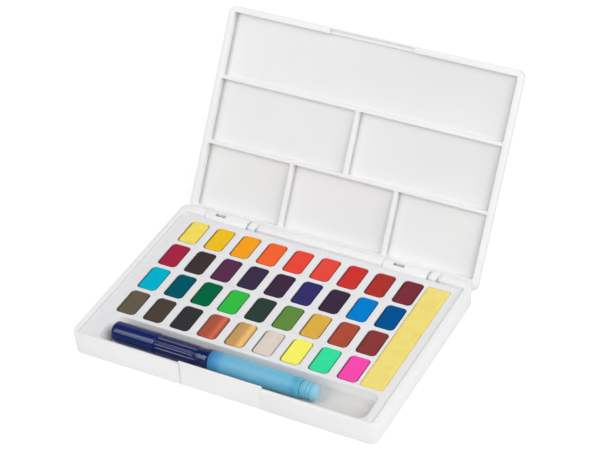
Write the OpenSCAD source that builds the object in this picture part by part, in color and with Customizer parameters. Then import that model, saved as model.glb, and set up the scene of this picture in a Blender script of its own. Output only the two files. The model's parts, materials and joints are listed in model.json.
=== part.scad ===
// Watercolor pan set. A flat hinged box holds a lift-out tray of colour pans,
// a sponge and a water brush; its open lid is a mixing palette with six wells.
// Millimetres. +Z is up, +X runs to the right, and the hinge is at the back (+Y).
// The origin is the centre of the base's flat underside.

/* [Box] */
// Overall length of the box, left to right
case_w = 230; // [205:1:260]
// Overall depth of the closed box, front to back
case_d = 156; // [142:1:176]
// Corner radius of the box seen from above
case_r = 6; // [4:0.5:9]

/* [Base] */
// Height of the base's rim above the table
base_h = 18; // [17:0.5:24]
// Thickness of the base's floor
base_floor = 2; // [1.2:0.1:3]
// Thickness of the side walls at the rim
side_rim = 3.4; // [2.6:0.1:5]
// Thickness of the front wall at the rim
front_rim = 2.3; // [2.2:0.1:4]
// Depth of the rear rim that carries the hinges
rear_rim = 8; // [7.8:0.1:10]
// Inset of the underside's outline from the rim's
foot_inset = 1.5; // [0.8:0.1:2.5]
// Height of the rounded lower edge
foot_round = 2; // [1:0.1:3]

/* [Front catch] */
// Length of the tongue on the base's front wall
tongue_len = 62.5; // [30:0.5:90]
// Centre of the tongue, to the right of the middle
tongue_x = 0.75; // [-5:0.25:5]
// Rise of the tongue above the rim
tongue_rise = 2.5; // [1.5:0.1:3.5]
// Depth of the panel sunk into the front wall under the tongue
panel_recess = 1.3; // [0.8:0.05:1.6]
// Gap between the tongue and the lid's lip
catch_gap = 0.2; // [0.15:0.05:0.4]
// Free length of the lid's notch left of the tongue
notch_left = 3; // [0.3:0.1:5]
// Free length of the lid's notch right of the tongue
notch_right = 0.5; // [0.3:0.1:5]
// Free height of the notch over the tongue
notch_top = 0.5; // [0.3:0.1:1]

/* [Tray] */
// Gap between the tray and the base's walls
tray_gap = 0.5; // [0.3:0.1:1]
// Depth of the tray's top below the base's rim
tray_sink = 1.8; // [1:0.1:2.5]
// Thickness of the tray's top plate
plate_t = 1; // [0.8:0.1:1.6]
// Thickness of the tray's hanging walls and pocket floors
tray_wall = 1.2; // [0.8:0.1:1.6]
// Corner radius of the tray's outline
tray_r = 2.5; // [1:0.5:4]
// Plate between neighbouring windows, left to right
column_gap = 5.8; // [3:0.1:7]
// Plate between neighbouring windows, front to back
row_gap = 3.1; // [2.5:0.1:6]
// Corner radius of a pan window
window_r = 3.4; // [1:0.1:4]
// Plate left of the first column of windows
margin_left = 10.8; // [5:0.1:14]
// Plate behind the last row of windows
margin_rear = 5.7; // [3:0.05:8]
// Plate between the last column and the sponge bay
margin_bay = 1.9; // [1.8:0.1:8]
// Plate right of the sponge bay
margin_right = 6.9; // [3:0.1:12]
// Plate between the first row of windows and the trough
margin_trough = 3; // [2.5:0.05:10]
// Plate in front of the trough
margin_front = 2; // [1.8:0.1:6]
// Depth of the brush trough, front to back
trough_d = 25.5; // [22:0.1:30]
// Sink of the trough's floor below the tray's top
trough_sink = 9.6; // [8:0.1:10.5]
// Plate left of the trough
trough_left = 14; // [6:0.1:20]
// Plate right of the trough
trough_right = 6.6; // [4:0.1:20]
// Corner radius of the trough seen from above
trough_r = 6; // [4:0.5:8]
// Radius of the trough's lower inside edge
trough_fillet = 2.4; // [1:0.1:3]
// Length of the slope at the trough's left end
trough_ramp = 4; // [1:0.1:4.5]

/* [Pans] */
// Wall and floor thickness of a pan cup
cup_wall = 0.7; // [0.6:0.05:1]
// Height of a pan cup
cup_h = 9; // [6:0.1:10]
// Overhang of the plate over the paint, all round a window
cup_overhang = 0.15; // [0.1:0.05:0.4]
// Gap between a cup and the tray's crate
cup_gap = 0.1; // [0.05:0.05:0.15]
// Height of the crate that grips the cups
crate_h = 6; // [3:0.5:8]
// Drop of the paint's surface below the tray's top
paint_drop = 0.4; // [0.1:0.1:0.7]
// Gap between the paint and the cup's walls, and under the plate
paint_gap = 0.05; // [0.05:0.05:0.2]
// Gap between the paint and the window's edge
window_gap = 0.15; // [0.1:0.05:0.4]

/* [Sponge] */
// Width of the sponge
sponge_w = 17; // [12:0.5:24]
// Height of the sponge
sponge_h = 12.7; // [8:0.1:13]
// Corner radius of the sponge seen from above
sponge_r = 1.5; // [0.5:0.1:4]
// Gap between the sponge and its bay, all round and below
sponge_gap = 0.3; // [0.3:0.05:1]
// Sink of the bay's floor below the tray's top
bay_sink = 12.2; // [9:0.1:12.6]
// Distance of the bay's rear end in front of the windows' rear edge
bay_rear = 0; // [0:0.05:4]
// Distance of the bay's front end behind the windows' front edge
bay_front = 0; // [0:0.05:4]

/* [Lid] */
// Height of the lid
lid_h = 7; // [6:0.5:10]
// Thickness of the lid's top
lid_t = 1.5; // [1:0.1:1.8]
// Width of the lid's side and front rims
lid_rim = 4.4; // [3:0.1:6]
// Width of the lid's rear rim
lid_rear_rim = 8.4; // [8:0.1:11]
// Radius of the lid's outer top edge
lid_round = 3; // [1.5:0.1:3.5]
// Corner radius of the wells
well_r = 1; // [0.5:0.5:6]
// Width of the palette's ribs
rib_w = 2.5; // [1.5:0.1:4]
// Depth of the ribs' tops below the lid's rim
rib_sink = 0.5; // [0:0.1:2]
// Depth of the front well
front_well_d = 46.4; // [40:0.1:58]
// Depth of the two middle wells
middle_well_d = 45.7; // [36:0.1:56]
// Length of the rear centre well
centre_well_w = 80; // [50:0.5:110]
// How far the lid stands open
lid_open = 123.84; // [0:1:134]

/* [Hinge] */
// Distance between the two hinges
hinge_span = 142.5; // [120:0.5:160]
// Height of the hinge axis below the base's rim
hinge_drop = 6; // [5.9:0.1:6.4]
// Distance of the hinge axis from the rear face
hinge_setback = 2.2; // [2:0.1:2.6]
// Radius of the lid's knuckles
knuckle_r = 5.8; // [5:0.1:5.8]
// Length of a knuckle left of the hinge's middle
knuckle_left = 23.5; // [16:0.5:30]
// Length of a knuckle right of the hinge's middle
knuckle_right = 10.3; // [6:0.1:11.8]
// Gap between a knuckle and the base
hinge_gap = 0.3; // [0.2:0.05:0.5]
// Radius of the hinge pins
pin_r = 1.7; // [1.2:0.1:2]
// Radial clearance of the hinge pins
pin_fit = 0.05; // [0.03:0.01:0.09]
// Radius of the shoulders on the clipped pin
pin_shoulder_r = 4.2; // [2.4:0.1:4.6]
// Depth of the blind hole for the left pin
pin_hole = 2.6; // [2:0.1:4]
// Start of the clip, right of the hinge's middle
clip_start = 12.75; // [12.2:0.05:14]
// Length of the clip
clip_len = 5; // [3:0.1:6]
// Free length of the pocket right of the clip
clip_free = 3; // [1.5:0.1:5]
// Height of the slot that the pin snaps through
clip_slot = 2.8; // [1.6:0.1:3]
// Drop of the clip's top below the rim
clip_drop = 0.6; // [0.5:0.1:1.5]
// Extra clearance where the lid's edge swings past the rear rim
swing_relief = 0.25; // [0.1:0.05:0.5]
// Length of the window cut into a knuckle
knuckle_window_len = 8.2; // [4:0.1:12]
// Width of the window cut into a knuckle
knuckle_window_w = 2.5; // [1:0.1:3]
// Depth of the window cut into a knuckle
knuckle_window_depth = 2.8; // [1:0.1:3.5]
// Middle of the window, left of the hinge's middle
knuckle_window_at = 12; // [8:0.1:14]
// Distance of the window's rear edge in front of the hinge axis
knuckle_window_y = -0.25; // [-1:0.05:1]

/* [Water brush] */
// Distance of the brush's axis behind the trough's front wall
brush_from_front = 12.2; // [10:0.1:14]
// Free length of the trough left of the cap
brush_end_gap = 6.4; // [3:0.1:12]
// Gap between the brush and the trough's floor
brush_seat_gap = 0.3; // [0.3:0.05:0.6]
// Length of the cap
cap_len = 35; // [32:0.5:40]
// Outer radius of the cap
cap_r = 7.5; // [6.5:0.1:7.7]
// Wall thickness of the cap
cap_wall = 1.2; // [0.8:0.1:1.2]
// Rounding of the cap's closed end
cap_round = 3.8; // [1:0.1:4]
// Length of the fluted grip with its cone
grip_len = 41.5; // [34:0.5:50]
// Radius of the fluted grip
grip_r = 7.1; // [6:0.1:7.2]
// Radius of the grip's collar at the barrel
collar_r = 7.5; // [6.8:0.1:7.7]
// Length of the grip's cone up to the collar
cone_len = 10; // [6:0.5:14]
// Number of flutes around the grip
flutes = 14; // [8:1:18]
// Radius of one flute
flute_r = 0.8; // [0.4:0.1:1]
// Length of the spigot that the cap is pushed on
spigot_len = 6; // [4:0.5:8]
// Radial clearance of the cap on its spigot
spigot_fit = 0.05; // [0.02:0.01:0.1]
// Length of the nib holder
holder_len = 12; // [8:0.5:13]
// Radius of the nib holder at the spigot
holder_r = 4; // [3:0.1:4.6]
// Radius of the nib holder at the bristles
holder_tip_r = 1.8; // [1.2:0.1:2.4]
// Inset of the bristles' root from the nib holder's edge
bristle_inset = 0.2; // [0.1:0.1:0.6]
// Free length of the bristles
bristle_len = 10; // [7:0.5:11]
// Length of the barrel
barrel_len = 68; // [50:0.5:74]
// Outer radius of the barrel beside the grip
barrel_r = 7.4; // [7:0.1:7.8]
// Outer radius of the barrel at its far end
barrel_end_r = 6.7; // [6.1:0.1:7]
// Wall thickness of the barrel
barrel_wall = 1.2; // [0.7:0.1:1.3]
// Length of the grip's connector inside the barrel
connector_len = 8; // [5:0.5:12]
// Radial clearance of the connector and the plug in the barrel
barrel_fit = 0.05; // [0.02:0.01:0.1]
// Length of the end plug outside the barrel
plug_len = 12; // [10:0.5:17]
// Radius of the end plug
plug_r = 5.8; // [4.8:0.1:6]
// Length of the end plug inside the barrel
plug_in = 6; // [4:0.5:8]
// Depth of the ring grooves on the end plug
plug_groove = 0.35; // [0.1:0.05:0.6]

/* [Hidden] */
// Colours of the pans, row by row from the back, each from left to right
PAINTS = [
    ["lemon", "#EFD969"], ["cadmium_yellow", "#E8BE3B"], ["orange_yellow", "#EFA039"],
    ["orange", "#EC693F"], ["scarlet", "#E34F44"], ["red", "#E05047"],
    ["crimson", "#C63C39"], ["madder", "#A93935"], ["wine", "#77323C"],
    ["magenta", "#A32E47"], ["sepia_violet", "#3F3434"], ["violet", "#58304F"],
    ["indigo", "#3B3048"], ["dark_violet", "#3E2C42"], ["ultramarine", "#353169"],
    ["prussian", "#3B2D3F"], ["sky_blue", "#0E7DC9"], ["cobalt", "#10528E"],
    ["turquoise", "#16AFC8"], ["teal", "#0A5464"], ["viridian", "#08643F"],
    ["leaf_green", "#3CB64A"], ["hooker_green", "#2F3E39"], ["olive", "#5F8741"],
    ["ochre", "#D7AC50"], ["sienna", "#A64F3F"], ["burnt_umber", "#853B3C"],
    ["grey_umber", "#635B4B"], ["raw_umber", "#4B413A"], ["black", "#343436"],
    ["copper", "#B15C46"], ["gold", "#CDA469"], ["pearl", "#D7CDC3"],
    ["neon_yellow", "#F7ED6F"], ["neon_green", "#43D99A"], ["neon_pink", "#F656AE"]
];
pan_cols = 9;
pan_rows = len(PAINTS) / pan_cols;
PAINT_NODES = [for (paint = PAINTS) str("paint_", paint[0])];
$fn = 64;

eps = 0.01;
past = 1;
facets = 32;
plastic = "whitesmoke";

// The tray fills the base's cavity, and the pan windows share what the bay,
// the trough and the margins leave of it.
cavity_w = case_w - 2 * side_rim;
cavity_d = case_d - front_rim - rear_rim;
tray_w = cavity_w - 2 * tray_gap;
tray_d = cavity_d - 2 * tray_gap;
bay_w = sponge_w + 2 * sponge_gap;
field_w = tray_w - margin_left - margin_bay - bay_w - margin_right;
field_d = tray_d - margin_front - trough_d - margin_trough - margin_rear;
pitch_x = (field_w + column_gap) / pan_cols;
pitch_y = (field_d + row_gap) / pan_rows;
window_w = pitch_x - column_gap;
window_d = pitch_y - row_gap;
front_y = -case_d / 2;
rear_y = case_d / 2;
cavity_y = front_y + front_rim;
cavity_r = tray_r + tray_gap;

// Tray levels and places
tray_x = -tray_w / 2;
tray_y = cavity_y + tray_gap;
tray_top = base_h - tray_sink;
plate_z = tray_top - plate_t;
first_x = tray_x + margin_left + window_w / 2;
first_y = tray_y + tray_d - margin_rear - window_d / 2;
cup_w = window_w + 2 * (cup_overhang + cup_wall);
cup_d = window_d + 2 * (cup_overhang + cup_wall);
cup_r = window_r + cup_overhang + cup_wall;
cup_z = plate_z - cup_h;
bay_x = tray_x + margin_left + field_w + margin_bay;
bay_y = tray_y + tray_d - margin_rear - field_d + bay_front;
bay_d = field_d - bay_front - bay_rear;
bay_z = tray_top - bay_sink;
bay_r = sponge_r + sponge_gap;
trough_x = tray_x + trough_left;
trough_w = tray_w - trough_left - trough_right;
trough_y = tray_y + margin_front;
trough_z = tray_top - trough_sink;

// Lid in its closed place
lid_top = base_h + lid_h;
well_top = lid_top - lid_t;
well_x = -case_w / 2 + lid_rim;
well_w = case_w - 2 * lid_rim;
well_y = front_y + lid_rim;
well_d = case_d - lid_rim - lid_rear_rim;
middle_well_y = well_y + front_well_d + rib_w;
rear_well_y = middle_well_y + middle_well_d + rib_w;
rear_well_d = well_y + well_d - rear_well_y;
half_well_w = (well_w - rib_w) / 2;
side_well_w = (well_w - centre_well_w) / 2 - rib_w;
lip_t = panel_recess - catch_gap;

// Hinge
hinge_y = rear_y - hinge_setback;
hinge_z = base_h - hinge_drop;
pocket_z = hinge_z - knuckle_r - hinge_gap;
pocket_left = knuckle_left + hinge_gap;
pocket_right = clip_start + clip_len + clip_free;
bore_r = pin_r + pin_fit;
right_pin_end = pocket_right - hinge_gap;
left_pin_end = pocket_left + pin_hole - hinge_gap;
edge_relief = hinge_drop - sqrt(pow(hinge_drop, 2) - pow(hinge_setback, 2)) + swing_relief;

// Brush
brush_y = trough_y + brush_from_front;
brush_z = trough_z + brush_seat_gap + max(barrel_r, cap_r, collar_r);
cap_x = trough_x + brush_end_gap;
grip_x = cap_x + cap_len;
barrel_x = grip_x + grip_len;
plug_x = barrel_x + barrel_len;
cap_bore_r = cap_r - cap_wall;
cap_floor = 0.7 * cap_round;
spigot_r = cap_bore_r - spigot_fit;
barrel_bore_r = barrel_end_r - barrel_wall;
inner_r = barrel_bore_r - barrel_fit;

// A flat plate with rounded corners, from its lower left corner
module rounded_plate(w, d, h, r)
    translate([r, r, 0])
        linear_extrude(h)
            union() {
                translate([-r, 0]) square([w, d - 2 * r]);
                translate([0, -r]) square([w - 2 * r, d]);
                for (x = [0, w - 2 * r], y = [0, d - 2 * r])
                    translate([x, y]) circle(r);
            }

// A thin slice of the box's outline, inset all round, for the hulls
module outline_slice(z, inset)
    translate([inset - case_w / 2, inset + front_y, z])
        rounded_plate(case_w - 2 * inset, case_d - 2 * inset, eps,
                      max(case_r - inset, 1), $fn = facets);

// Turns the closed lid about the hinge axis to where it stands open
module opened()
    translate([0, hinge_y, hinge_z])
        rotate([-lid_open, 0, 0])
            translate([0, -hinge_y, -hinge_z])
                children();

// Places children at both hinges
module at_hinges()
    for (x = [-hinge_span / 2, hinge_span / 2])
        translate([x, hinge_y, hinge_z])
            children();

// A cylinder along X from x0 to x1
module rod_x(x0, x1, r)
    translate([x0, 0, 0]) rotate([0, 90, 0]) cylinder(r = r, h = x1 - x0);

// Places a turned piece, drawn upwards from z = 0, along the brush's axis from x
module on_brush(x)
    translate([x, brush_y, brush_z]) rotate([0, 90, 0]) children();

module at_pans()
    for (row = [0 : pan_rows - 1], col = [0 : pan_cols - 1])
        translate([first_x + col * pitch_x, first_y - row * pitch_y, 0])
            children();

// A plate with rounded corners centred on X and Y
module centred_plate(w, d, h, r)
    translate([-w / 2, -d / 2, 0]) rounded_plate(w, d, h, r);

module base_shell()
    intersection() {
        hull() {
            outline_slice(-foot_round / 2, foot_inset + foot_round / 4);
            outline_slice(foot_round / 4, foot_inset / 2);
            outline_slice(foot_round, foot_inset / 4);
            outline_slice(base_h + past, 0);
        }
        translate([-case_w, -case_d, 0]) cube([2 * case_w, 2 * case_d, base_h]);
    }

module front_tongue()
    translate([tongue_x - tongue_len / 2, front_y + panel_recess, base_h - past])
        cube([tongue_len, front_rim - panel_recess, past + tongue_rise]);

module front_panel()
    translate([tongue_x - tongue_len / 2, front_y - past, -past])
        cube([tongue_len, past + panel_recess, base_h + 2 * past]);

module hinge_pocket() {
    pocket_h = base_h - pocket_z + past;
    translate([-pocket_left, -knuckle_r - hinge_gap, pocket_z - hinge_z])
        cube([pocket_left + pocket_right, knuckle_r + hinge_gap + hinge_setback + past,
              pocket_h]);
    rod_x(-pocket_left - pin_hole, 0, bore_r);
}

module hinge_clip()
    difference() {
        translate([clip_start, hinge_setback - rear_rim, pocket_z - hinge_z - past])
            cube([clip_len, rear_rim, hinge_drop - pocket_z + hinge_z - clip_drop + past]);
        rod_x(clip_start - past, clip_start + clip_len + past, bore_r);
        translate([clip_start - past, 0, -clip_slot / 2])
            cube([clip_len + 2 * past, rear_rim, clip_slot]);
    }

module rear_edge_relief()
    translate([-case_w / 2 - past, hinge_y, base_h])
        rotate([90, 0, 90])
            linear_extrude(case_w + 2 * past)
                polygon([[0, 0], [hinge_setback + past, past],
                         [hinge_setback + past, -edge_relief], [hinge_setback, -edge_relief]]);

module base_case()
    color(plastic) {
        difference() {
            union() {
                base_shell();
                front_tongue();
            }
            translate([-cavity_w / 2, cavity_y, base_floor])
                rounded_plate(cavity_w, cavity_d, base_h + tongue_rise, cavity_r);
            front_panel();
            at_hinges() hinge_pocket();
            rear_edge_relief();
        }
        at_hinges() hinge_clip();
    }

module well(x, y, w, d, top)
    translate([x, y, base_h - past])
        rounded_plate(w, d, top - base_h + past, well_r);

module palette_wells() {
    side_x = well_x + side_well_w + rib_w;
    well(well_x, well_y, well_w, front_well_d, well_top);
    for (x = [well_x, well_x + half_well_w + rib_w])
        well(x, middle_well_y, half_well_w, middle_well_d, well_top);
    for (x = [well_x, side_x + centre_well_w + rib_w])
        well(x, rear_well_y, side_well_w, rear_well_d, well_top);
    well(side_x, rear_well_y, centre_well_w, rear_well_d, well_top);
}

// Lowers the ribs below the rim
module rib_tops()
    well(well_x, well_y, well_w, well_d, base_h + rib_sink);

module catch_notch()
    translate([tongue_x - tongue_len / 2 - notch_left, front_y + lip_t, base_h - past])
        cube([tongue_len + notch_left + notch_right, lid_rim - lip_t + eps,
              tongue_rise + notch_top + past]);

module lid_shell()
    hull()
        for (a = [0 : 15 : 90])
            outline_slice(lid_top - eps - lid_round * (1 - sin(a)), lid_round * (1 - cos(a)));

// Straight lower part of the lid's wall
module lid_skirt()
    translate([-case_w / 2, front_y, base_h])
        rounded_plate(case_w, case_d, lid_h - lid_round, case_r, $fn = facets);

module knuckle() {
    intersection() {
        rod_x(-knuckle_left, knuckle_right, knuckle_r);
        translate([-knuckle_left - past, -knuckle_r - past, -knuckle_r - past])
            cube([knuckle_left + knuckle_right + 2 * past, knuckle_r + past + hinge_setback,
                  2 * (knuckle_r + past)]);
    }
    translate([-knuckle_left, -knuckle_r, 0])
        cube([knuckle_left + knuckle_right, knuckle_r + hinge_setback, hinge_drop]);
    rod_x(-left_pin_end, -knuckle_left + eps, pin_r);
    rod_x(knuckle_right - eps, right_pin_end, pin_r);
    rod_x(knuckle_right - eps, clip_start - hinge_gap, pin_shoulder_r);
    rod_x(clip_start + clip_len + hinge_gap, right_pin_end, pin_shoulder_r);
}

// The window faces straight up when the lid stands open
module knuckle_window()
    rotate([lid_open, 0, 0])
        translate([-knuckle_window_at - knuckle_window_len / 2, -knuckle_window_w - knuckle_window_y,
                   knuckle_r - knuckle_window_depth])
            cube([knuckle_window_len, knuckle_window_w, knuckle_window_depth + past]);

module lid_palette()
    color(plastic)
        opened()
            difference() {
                union() {
                    difference() {
                        union() {
                            lid_shell();
                            lid_skirt();
                        }
                        palette_wells();
                        rib_tops();
                        catch_notch();
                    }
                    at_hinges() knuckle();
                }
                at_hinges() knuckle_window();
            }

// The block that the cups' pockets are cut from
module pan_crate()
    translate([first_x - cup_w / 2 - tray_wall, first_y + cup_d / 2 + tray_wall, plate_z - crate_h])
        mirror([0, 1, 0])
            cube([(pan_cols - 1) * pitch_x + cup_w + 2 * tray_wall,
                  (pan_rows - 1) * pitch_y + cup_d + 2 * tray_wall, crate_h]);

module cup_pockets()
    at_pans()
        translate([0, 0, cup_z - past])
            centred_plate(cup_w + 2 * cup_gap, cup_d + 2 * cup_gap, cup_h + past,
                          cup_r + cup_gap);

// Everything under the tray's plate
module tray_underside()
    difference() {
        union() {
            tray_skirt();
            pan_crate();
            translate([trough_x - tray_wall, trough_y - tray_wall, trough_z - tray_wall])
                rounded_plate(trough_w + 2 * tray_wall, trough_d + 2 * tray_wall,
                              trough_sink - plate_t + tray_wall, trough_r + tray_wall);
            translate([bay_x - tray_wall, bay_y - tray_wall, bay_z - tray_wall])
                rounded_plate(bay_w + 2 * tray_wall, bay_d + 2 * tray_wall,
                              bay_sink - plate_t + tray_wall, bay_r + tray_wall);
        }
        cup_pockets();
    }

// A thin slice of the trough's outline, inset all round and cut short at its left end
module trough_slice(z, inset, cut)
    translate([trough_x + inset + cut, trough_y + inset, z])
        rounded_plate(trough_w - 2 * inset - cut, trough_d - 2 * inset, eps,
                      trough_r - inset, $fn = facets);

// The left end slopes, so that a fingertip gets under the cap
module trough_hollow()
    hull() {
        for (a = [0 : 22.5 : 90])
            trough_slice(trough_z + trough_fillet * (1 - cos(a)),
                         trough_fillet * (1 - sin(a)), trough_ramp);
        trough_slice(tray_top, 0, 0);
    }

module insert_tray()
    color(plastic)
        difference() {
            union() {
                translate([tray_x, tray_y, plate_z])
                    rounded_plate(tray_w, tray_d, plate_t, tray_r);
                tray_underside();
            }
            at_pans()
                translate([0, 0, plate_z - eps])
                    centred_plate(window_w, window_d, plate_t + past, window_r);
            trough_hollow();
            translate([bay_x, bay_y, bay_z])
                rounded_plate(bay_w, bay_d, bay_sink + past, bay_r);
        }

module tray_skirt()
    difference() {
        translate([tray_x, tray_y, base_floor])
            rounded_plate(tray_w, tray_d, plate_z - base_floor, tray_r);
        translate([tray_x + tray_wall, tray_y + tray_wall, base_floor - past])
            rounded_plate(tray_w - 2 * tray_wall, tray_d - 2 * tray_wall,
                          plate_z - base_floor + past, tray_r - tray_wall);
    }

module pan_cups()
    color("white")
        at_pans()
            translate([0, 0, cup_z])
                difference() {
                    centred_plate(cup_w, cup_d, cup_h, cup_r);
                    translate([0, 0, cup_wall])
                        centred_plate(cup_w - 2 * cup_wall, cup_d - 2 * cup_wall, cup_h,
                                      cup_r - cup_wall);
                }

// The paint fills its cup and stands up into the window
module paint(index)
    color(PAINTS[index][1])
        translate([first_x + (index % pan_cols) * pitch_x,
                   first_y - floor(index / pan_cols) * pitch_y, cup_z + cup_wall]) {
            centred_plate(cup_w - 2 * (cup_wall + paint_gap), cup_d - 2 * (cup_wall + paint_gap),
                          cup_h - cup_wall - paint_gap, cup_r - cup_wall - paint_gap);
            centred_plate(window_w - 2 * window_gap, window_d - 2 * window_gap,
                          cup_h - cup_wall + plate_t - paint_drop, window_r - window_gap);
        }

module sponge()
    color("khaki")
        translate([bay_x + sponge_gap, bay_y + sponge_gap, bay_z + sponge_gap])
            rounded_plate(sponge_w, bay_d - 2 * sponge_gap, sponge_h, sponge_r);

// Half of a turned outline with one rounded outer corner at its far end
module half_round_end(r, len, round)
    union() {
        square([r, len - round]);
        square([r - round, len]);
        translate([r - round, len - round])
            intersection() {
                circle(round);
                square(round);
            }
    }

module brush_cap()
    color("midnightblue")
        difference() {
            on_brush(grip_x)
                mirror([0, 0, 1])
                    rotate_extrude() half_round_end(cap_r, cap_len, cap_round);
            on_brush(cap_x + cap_floor)
                cylinder(r = cap_bore_r, h = cap_len);
        }

module brush_grip()
    color("navy")
        difference() {
            union() {
                on_brush(grip_x - spigot_len) cylinder(r = spigot_r, h = spigot_len + eps);
                on_brush(grip_x) cylinder(r = grip_r, h = grip_len - cone_len + eps);
                on_brush(barrel_x - cone_len)
                    cylinder(r1 = grip_r - flute_r / 2, r2 = collar_r, h = cone_len);
            }
            for (i = [0 : flutes - 1])
                on_brush(grip_x + flute_r)
                    rotate(i * 360 / flutes)
                        translate([grip_r + flute_r / 2, 0, 0])
                            cylinder(r = flute_r, h = grip_len - cone_len);
        }

module brush_nib_holder()
    color("lightsteelblue")
        on_brush(grip_x - spigot_len - holder_len)
            cylinder(r1 = holder_tip_r, r2 = holder_r, h = holder_len);

module brush_bristles()
    color("white")
        on_brush(grip_x - spigot_len - holder_len - bristle_len)
            cylinder(r1 = holder_tip_r / 10, r2 = holder_tip_r - bristle_inset, h = bristle_len);

module brush_connector()
    color("steelblue")
        on_brush(barrel_x) cylinder(r = inner_r, h = connector_len);

module brush_barrel()
    color("skyblue")
        on_brush(barrel_x)
            difference() {
                cylinder(r1 = barrel_r, r2 = barrel_end_r, h = barrel_len);
                translate([0, 0, -past])
                    cylinder(r = barrel_bore_r, h = barrel_len + 2 * past);
            }

module brush_end_plug()
    color("lightskyblue")
        on_brush(plug_x) {
            rotate_extrude()
                difference() {
                    half_round_end(plug_r, plug_len, plug_r / 2);
                    for (i = [1 : 3])
                        translate([plug_r - plug_groove, i * plug_len / 5])
                            square([1, plug_len / 12]);
                }
            translate([0, 0, -plug_in])
                cylinder(r = inner_r, h = plug_in + eps);
        }

base_case();
lid_palette();
insert_tray();
pan_cups();
for (index = [0 : len(PAINTS) - 1])
    paint(index);
sponge();
brush_cap();
brush_grip();
brush_nib_holder();
brush_bristles();
brush_connector();
brush_barrel();
brush_end_plug();
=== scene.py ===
"""Looks of the watercolor pan set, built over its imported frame.

Lengths are metres in the frame's own axes: +X right, +Y to the hinge, +Z up.
"""
import json
import math

import bmesh
import bpy
from mathutils import Matrix, Vector, noise


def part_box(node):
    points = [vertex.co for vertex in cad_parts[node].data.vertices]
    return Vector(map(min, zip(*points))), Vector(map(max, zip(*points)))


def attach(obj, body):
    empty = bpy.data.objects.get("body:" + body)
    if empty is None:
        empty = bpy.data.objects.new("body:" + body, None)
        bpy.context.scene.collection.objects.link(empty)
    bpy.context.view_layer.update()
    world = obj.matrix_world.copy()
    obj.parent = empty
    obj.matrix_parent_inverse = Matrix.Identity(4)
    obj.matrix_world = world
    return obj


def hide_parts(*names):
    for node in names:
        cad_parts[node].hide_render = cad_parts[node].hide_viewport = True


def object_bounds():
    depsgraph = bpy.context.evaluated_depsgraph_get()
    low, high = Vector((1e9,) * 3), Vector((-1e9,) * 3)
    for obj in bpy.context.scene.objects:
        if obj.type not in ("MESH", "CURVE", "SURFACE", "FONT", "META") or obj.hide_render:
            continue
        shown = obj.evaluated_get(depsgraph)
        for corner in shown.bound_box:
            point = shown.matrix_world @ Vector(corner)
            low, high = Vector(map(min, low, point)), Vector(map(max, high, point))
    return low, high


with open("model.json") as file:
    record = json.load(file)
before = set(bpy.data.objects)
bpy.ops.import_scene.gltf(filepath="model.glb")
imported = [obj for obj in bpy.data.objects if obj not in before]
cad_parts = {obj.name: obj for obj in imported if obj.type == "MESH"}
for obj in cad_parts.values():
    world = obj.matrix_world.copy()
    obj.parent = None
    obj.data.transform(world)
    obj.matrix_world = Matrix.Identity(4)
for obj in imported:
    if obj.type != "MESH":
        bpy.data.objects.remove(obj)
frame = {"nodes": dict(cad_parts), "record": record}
CAD_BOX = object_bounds()

MM = 0.001
NODES = frame["nodes"]
MATERIALS = {entry["slot"]: entry for entry in frame["record"]["materials"]}
scene = bpy.context.scene

# ---------------------------------------------------------------- camera

CAMERA_PLACE = Vector((0.54977, -0.89261, 0.90858))
CAMERA_AZIMUTH = math.radians(30.395)
CAMERA_ELEVATION = math.radians(38.095)
CAMERA_ROLL = math.radians(-4.608)
CAMERA_LENS = 120.94


def add_camera():
    """A camera to the front right of the set, above it and rolled a little."""
    level = math.cos(CAMERA_ELEVATION)
    forward = Vector((-math.sin(CAMERA_AZIMUTH) * level,
                      math.cos(CAMERA_AZIMUTH) * level,
                      -math.sin(CAMERA_ELEVATION)))
    flat_right = forward.cross(Vector((0, 0, 1))).normalized()
    flat_up = flat_right.cross(forward)
    right = flat_right * math.cos(CAMERA_ROLL) + flat_up * math.sin(CAMERA_ROLL)
    up = right.cross(forward)
    data = bpy.data.cameras.new("camera")
    data.lens = CAMERA_LENS
    data.sensor_width = 36
    data.clip_start = 0.05
    camera = bpy.data.objects.new("camera", data)
    turn = Matrix((right, up, -forward)).transposed().to_4x4()
    camera.matrix_world = Matrix.Translation(CAMERA_PLACE) @ turn
    scene.collection.objects.link(camera)
    scene.camera = camera


# ---------------------------------------------------------------- colours


def linear(channel):
    """An sRGB channel from 0 to 1 as linear light."""
    if channel <= 0.04045:
        return channel / 12.92
    return ((channel + 0.055) / 1.055) ** 2.4


def rgba(colour):
    """An sRGB colour from 0 to 255 as a linear RGBA tuple."""
    return tuple(linear(c / 255) for c in colour) + (1.0,)


def grey(level):
    """A neutral linear RGBA tuple."""
    return (level, level, level, 1)


def tinted(colour, factor):
    """A linear colour made lighter or darker by a factor, as an RGBA tuple."""
    return tuple(min(1.0, c * factor) for c in colour[:3]) + (1.0,)


def deepened(colour, gain):
    """A linear colour with its channels drawn apart by a gain."""
    middle = sum(colour) / len(colour)
    return tuple(max(0.0, middle + (c - middle) * gain) for c in colour)


# ---------------------------------------------------------------- shader nodes


def new_material(name):
    """A node material with its Principled shader."""
    material = bpy.data.materials.new(name)
    material.use_nodes = True
    nodes = material.node_tree.nodes
    return material, nodes, material.node_tree.links, nodes["Principled BSDF"]


def set_inputs(node, values):
    """Plain values for a node's inputs, by name."""
    for name, value in values.items():
        node.inputs[name].default_value = value


def noise_texture(nodes, links, scale, detail=3.0, roughness=0.5):
    """Noise in the object's own metres, with scale in cycles per metre."""
    coords = nodes.new("ShaderNodeTexCoord")
    texture = nodes.new("ShaderNodeTexNoise")
    set_inputs(texture, {"Scale": scale, "Detail": detail, "Roughness": roughness})
    links.new(coords.outputs["Object"], texture.inputs["Vector"])
    return texture.outputs["Fac"]


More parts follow.
